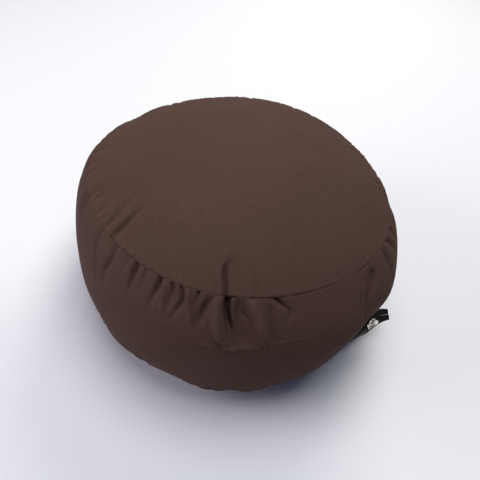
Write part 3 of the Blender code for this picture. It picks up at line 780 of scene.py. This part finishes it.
def thread_place(tree, panel):
    """Metres along the two sets of threads: across the round panels, or round and up the band."""
    place = node(tree, "ShaderNodeTexCoord").outputs["Object"]
    if panel != BAND:
        return place
    split = node(tree, "ShaderNodeSeparateXYZ", ((0, place),))
    turn = node(tree, "ShaderNodeMath", ((0, split.outputs[1]), (1, split.outputs[0])), operation="ARCTAN2")
    along = node(tree, "ShaderNodeMath", ((0, turn.outputs[0]), (1, BULGE_RADIUS)), operation="MULTIPLY")
    return node(tree, "ShaderNodeCombineXYZ", ((0, along.outputs[0]), (1, split.outputs[2]))).outputs[0]


def wandering_place(tree, flat_place):
    """The same place moved a little to and fro, so that no thread runs quite straight."""
    wander = node(
        tree,
        "ShaderNodeTexNoise",
        (("Vector", flat_place), ("Scale", per_metre(WANDER_SIZE)), ("Detail", 2.0)),
    ).outputs[1]
    shift = node(tree, "ShaderNodeVectorMath", ((0, wander), ("Scale", THREAD_WANDER)), operation="SCALE")
    moved = node(tree, "ShaderNodeVectorMath", ((0, flat_place), (1, shift.outputs[0])), operation="ADD")
    return moved.outputs[0]


def crossed_threads(tree, place, spacing):
    """The height of a plain weave. Cotton of this weight has a thread each 0.4 mm, which is too fine
    to show, so the spacing is drawn coarser."""
    split = node(tree, "ShaderNodeSeparateXYZ", ((0, place),))
    threads = []
    for axis in (0, 1):
        turn = ((0, split.outputs[axis]), (1, math.pi / spacing))
        scaled = node(tree, "ShaderNodeMath", turn, operation="MULTIPLY")
        threads.append(node(tree, "ShaderNodeMath", ((0, scaled.outputs[0]),), operation="SINE").outputs[0])
    return node(tree, "ShaderNodeMath", ((0, threads[0]), (1, threads[1])), operation="MULTIPLY").outputs[0]


def dark_share(tree, place):
    """How much of the darker colour shows: on thick stretches of thread, and in faded clouds."""
    sizes = (SLUB_WIDTH, SLUB_LENGTH, SLUB_LENGTH)
    scales = tuple(per_metre(size) for size in sizes)
    stretch = node(tree, "ShaderNodeMapping", (("Vector", place), ("Scale", scales))).outputs[0]
    slubs = node(tree, "ShaderNodeTexNoise", (("Vector", stretch), ("Scale", 1.0), ("Detail", 3.0)))
    object_place = node(tree, "ShaderNodeTexCoord").outputs["Object"]
    clouds = node(
        tree,
        "ShaderNodeTexNoise",
        (("Vector", object_place), ("Scale", per_metre(CLOUD_SIZE)), ("Detail", 4.0)),
    )
    both = node(tree, "ShaderNodeMath", ((0, slubs.outputs[0]), (1, clouds.outputs[0])), operation="ADD")
    low, high = DARK_BETWEEN
    links = (("Value", both.outputs[0]), ("From Min", low), ("From Max", high), ("To Max", DARK_SHARE))
    return node(tree, "ShaderNodeMapRange", links).outputs[0]


def brown_woven_cotton(name, panel, settings, colours):
    """Plain-woven cotton, dyed and soft from use: matt, with a faint sheen of loose fibres at the
    edges and threads that differ a little in shade."""
    material, tree, shader = new_material(name)
    place = wandering_place(tree, thread_place(tree, panel))
    colour = mixed_colour(tree, dark_share(tree, place), colours.cloth, colours.cloth_dark)
    tree.links.new(colour, shader.inputs["Base Color"])
    shader.inputs["Roughness"].default_value = 0.9
    shader.inputs["IOR"].default_value = 1.5
    shader.inputs["Specular IOR Level"].default_value = 0.08
    shader.inputs["Sheen Weight"].default_value = 0.03
    shader.inputs["Sheen Roughness"].default_value = 0.45
    shader.inputs["Sheen Tint"].default_value = linear(SHEEN_COLOUR)
    weave = crossed_threads(tree, place, settings.thread_spacing)
    links = (("Height", weave), ("Strength", WEAVE_STRENGTH), ("Distance", WEAVE_HEIGHT))
    tree.links.new(node(tree, "ShaderNodeBump", links).outputs[0], shader.inputs["Normal"])
    return material


def black_polyester_tape(colours):
    """Zip tape, woven from polyester: near black, with a dull gloss on the ribs of its weave."""
    material, tree, shader = new_material("black_polyester_tape")
    place = node(tree, "ShaderNodeTexCoord").outputs["Object"]
    ribs = node(
        tree,
        "ShaderNodeTexNoise",
        (("Vector", place), ("Scale", per_metre(RIB_SIZE)), ("Detail", 2.0)),
    )
    colour = mixed_colour(tree, ribs.outputs[0], colours.tape, linear(RIB_COLOUR))
    tree.links.new(colour, shader.inputs["Base Color"])
    shader.inputs["Roughness"].default_value = 0.8
    shader.inputs["Specular IOR Level"].default_value = 0.25
    shader.inputs["IOR"].default_value = 1.5
    links = (("Height", ribs.outputs[0]), ("Strength", RIB_STRENGTH), ("Distance", RIB_HEIGHT))
    tree.links.new(node(tree, "ShaderNodeBump", links).outputs[0], shader.inputs["Normal"])
    return material


def black_nylon_coil(colours):
    """Nylon monofilament, wound and set: black and slightly glossy."""
    material, tree, shader = new_material("black_nylon_coil")
    place = node(tree, "ShaderNodeTexCoord").outputs["Object"]
    scuffs = node(tree, "ShaderNodeTexNoise", (("Vector", place), ("Scale", per_metre(SCUFF_SIZE))))
    smooth, scuffed = SCUFF_ROUGHNESS
    links = (("Value", scuffs.outputs[0]), ("To Min", smooth), ("To Max", scuffed))
    tree.links.new(node(tree, "ShaderNodeMapRange", links).outputs[0], shader.inputs["Roughness"])
    shader.inputs["Base Color"].default_value = colours.tape
    shader.inputs["IOR"].default_value = 1.53
    return material


def nickel_plated_zinc(colours):
    """Die-cast zinc with bright nickel plating: polished high spots and duller hollows."""
    material, tree, shader = new_material("nickel_plated_zinc")
    place = node(tree, "ShaderNodeTexCoord").outputs["Object"]
    wear = node(
        tree,
        "ShaderNodeTexNoise",
        (("Vector", place), ("Scale", per_metre(WEAR_SIZE)), ("Detail", 3.0)),
    )
    bright, dull = WEAR_ROUGHNESS
    links = (("Value", wear.outputs[0]), ("To Min", bright), ("To Max", dull))
    tree.links.new(node(tree, "ShaderNodeMapRange", links).outputs[0], shader.inputs["Roughness"])
    shader.inputs["Base Color"].default_value = colours.nickel
    shader.inputs["Metallic"].default_value = 1.0
    return material


def pale_seamless_paper(colours):
    """Coated paper for a studio floor: pale and quite matt, with a grain too fine to see."""
    material, _, shader = new_material("pale_seamless_paper")
    shader.inputs["Base Color"].default_value = colours.floor
    shader.inputs["Roughness"].default_value = 0.95
    shader.inputs["Specular IOR Level"].default_value = 0.1
    return material


def add_piece(name, data):
    """Adds an object that holds a mesh, a light or a camera."""
    piece = bpy.data.objects.new(name, data)
    bpy.context.scene.collection.objects.link(piece)
    return piece


class ZAFU_OT_cover(bpy.types.Operator):
    """Makes the filled cover with its top panel, side band and bottom panel"""

    bl_idname = "zafu.cover"
    bl_label = "Cover"

    def execute(self, context):
        settings, colours = context.scene.zafu_sizes, context.scene.zafu_colours
        cover = add_piece("cushion_cover", cover_mesh(settings))
        for name, panel in (("cotton_top", TOP), ("cotton_band", BAND), ("cotton_underside", UNDER)):
            cover.data.materials.append(brown_woven_cotton(name, panel, settings, colours))
        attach(cover, "root")
        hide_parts("cushion")
        return {"FINISHED"}


class ZAFU_OT_zip(bpy.types.Operator):
    """Finishes the zip: two tapes, the coil, the slider and its pull"""

    bl_idname = "zafu.zip"
    bl_label = "Zip"

    def execute(self, context):
        colours = context.scene.zafu_colours
        tape = black_polyester_tape(colours)
        nickel = nickel_plated_zinc(colours)
        finishes = {
            "zip_tape_upper": tape,
            "zip_tape_lower": tape,
            "zip_coil": black_nylon_coil(colours),
            "zip_slider": nickel,
            "zip_pull": nickel,
        }
        for name, material in finishes.items():
            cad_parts[name].material_slots[0].material = material
        return {"FINISHED"}


def camera_matrix():
    """The fitted place of the camera, and its turn with the tip to one side."""
    rise, roll = math.radians(CAMERA_ELEVATION_DEG), math.radians(CAMERA_ROLL_DEG)
    back = Vector((0.0, -math.cos(rise), math.sin(rise)))
    up = Vector((0.0, math.sin(rise), math.cos(rise)))
    right = Vector((1.0, 0.0, 0.0))
    tipped_right = right * math.cos(roll) + up * math.sin(roll)
    tipped_up = up * math.cos(roll) - right * math.sin(roll)
    turn = Matrix((tipped_right, tipped_up, back)).transposed().to_4x4()
    return Matrix.Translation(CAMERA_AIM + back * CAMERA_DISTANCE) @ turn


def add_camera():
    """Adds the camera that sees the cushion at the fitted angle and place in the picture."""
    camera = bpy.data.cameras.new("camera")
    camera.sensor_width = SENSOR_MM
    camera.lens = SENSOR_MM * FOCAL_PIXELS / FRAME_PIXELS
    camera.shift_x = (FRAME_PIXELS / 2 - AIM_PIXEL[0]) / FRAME_PIXELS
    camera.shift_y = (AIM_PIXEL[1] - FRAME_PIXELS / 2) / FRAME_PIXELS
    camera.clip_start = 10 * MM
    holder = add_piece("camera", camera)
    holder.matrix_world = camera_matrix()
    bpy.context.scene.camera = holder


def add_lamp(row):
    """Adds one of the LAMPS: a round lamp that faces the cushion."""
    fields = dict(zip(LAMP_FIELDS, row))
    light = bpy.data.lights.new(fields["name"], "AREA")
    light.shape = "DISK"
    light.size = fields["size"]
    light.energy = fields["power"]
    light.color = linear(fields["colour"])[:3]
    place = Vector(fields["place"])
    turn = place.to_track_quat("Z", "Y").to_matrix().to_4x4()
    add_piece(fields["name"], light).matrix_world = Matrix.Translation(place) @ turn


def add_sky():
    """Adds the dim even light that comes from all sides."""
    sky = bpy.data.worlds.new("studio")
    sky.use_nodes = True
    background = sky.node_tree.nodes["Background"]
    background.inputs["Color"].default_value = linear(SKY_COLOUR)
    background.inputs["Strength"].default_value = SKY_STRENGTH
    bpy.context.scene.world = sky


def floor_mesh():
    """A level square round the origin."""
    shell = bmesh.new()
    bmesh.ops.create_grid(shell, x_segments=FLOOR_STEPS, y_segments=FLOOR_STEPS, size=FLOOR_HALF)
    mesh = bpy.data.meshes.new("floor")
    shell.to_mesh(mesh)
    shell.free()
    return mesh


class ZAFU_OT_stage(bpy.types.Operator):
    """Adds the floor, the studio light and the camera"""

    bl_idname = "zafu.stage"
    bl_label = "Stage"

    def execute(self, context):
        context.scene.view_settings.view_transform = "Standard"
        floor = add_piece("floor", floor_mesh())
        floor.data.materials.append(pale_seamless_paper(context.scene.zafu_colours))
        add_sky()
        for row in LAMPS:
            add_lamp(row)
        add_camera()
        return {"FINISHED"}


class ZAFU_PT_panel(bpy.types.Panel):
    """Lists the sizes, the colours and the operators"""

    bl_idname = "ZAFU_PT_panel"
    bl_label = "Zafu"
    bl_space_type = "VIEW_3D"
    bl_region_type = "UI"
    bl_category = "Zafu"

    def draw(self, context):
        for settings in (context.scene.zafu_sizes, context.scene.zafu_colours):
            for name in settings.__annotations__:
                self.layout.prop(settings, name)
        for operator in OPERATORS:
            self.layout.operator(operator.bl_idname)


OPERATORS = (ZAFU_OT_cover, ZAFU_OT_zip, ZAFU_OT_stage)
CLASSES = (CushionSettings, ColourSettings, *OPERATORS, ZAFU_PT_panel)


def register():
    for cls in CLASSES:
        bpy.utils.register_class(cls)
    bpy.types.Scene.zafu_sizes = PointerProperty(type=CushionSettings)
    bpy.types.Scene.zafu_colours = PointerProperty(type=ColourSettings)


def unregister():
    del bpy.types.Scene.zafu_colours
    del bpy.types.Scene.zafu_sizes
    for cls in reversed(CLASSES):
        bpy.utils.unregister_class(cls)


def main():
    """Registers the add-on and builds the cushion, its zip and the stage."""
    register()
    bpy.ops.zafu.cover()
    bpy.ops.zafu.zip()
    bpy.ops.zafu.stage()


if __name__ == "__main__":
    main()
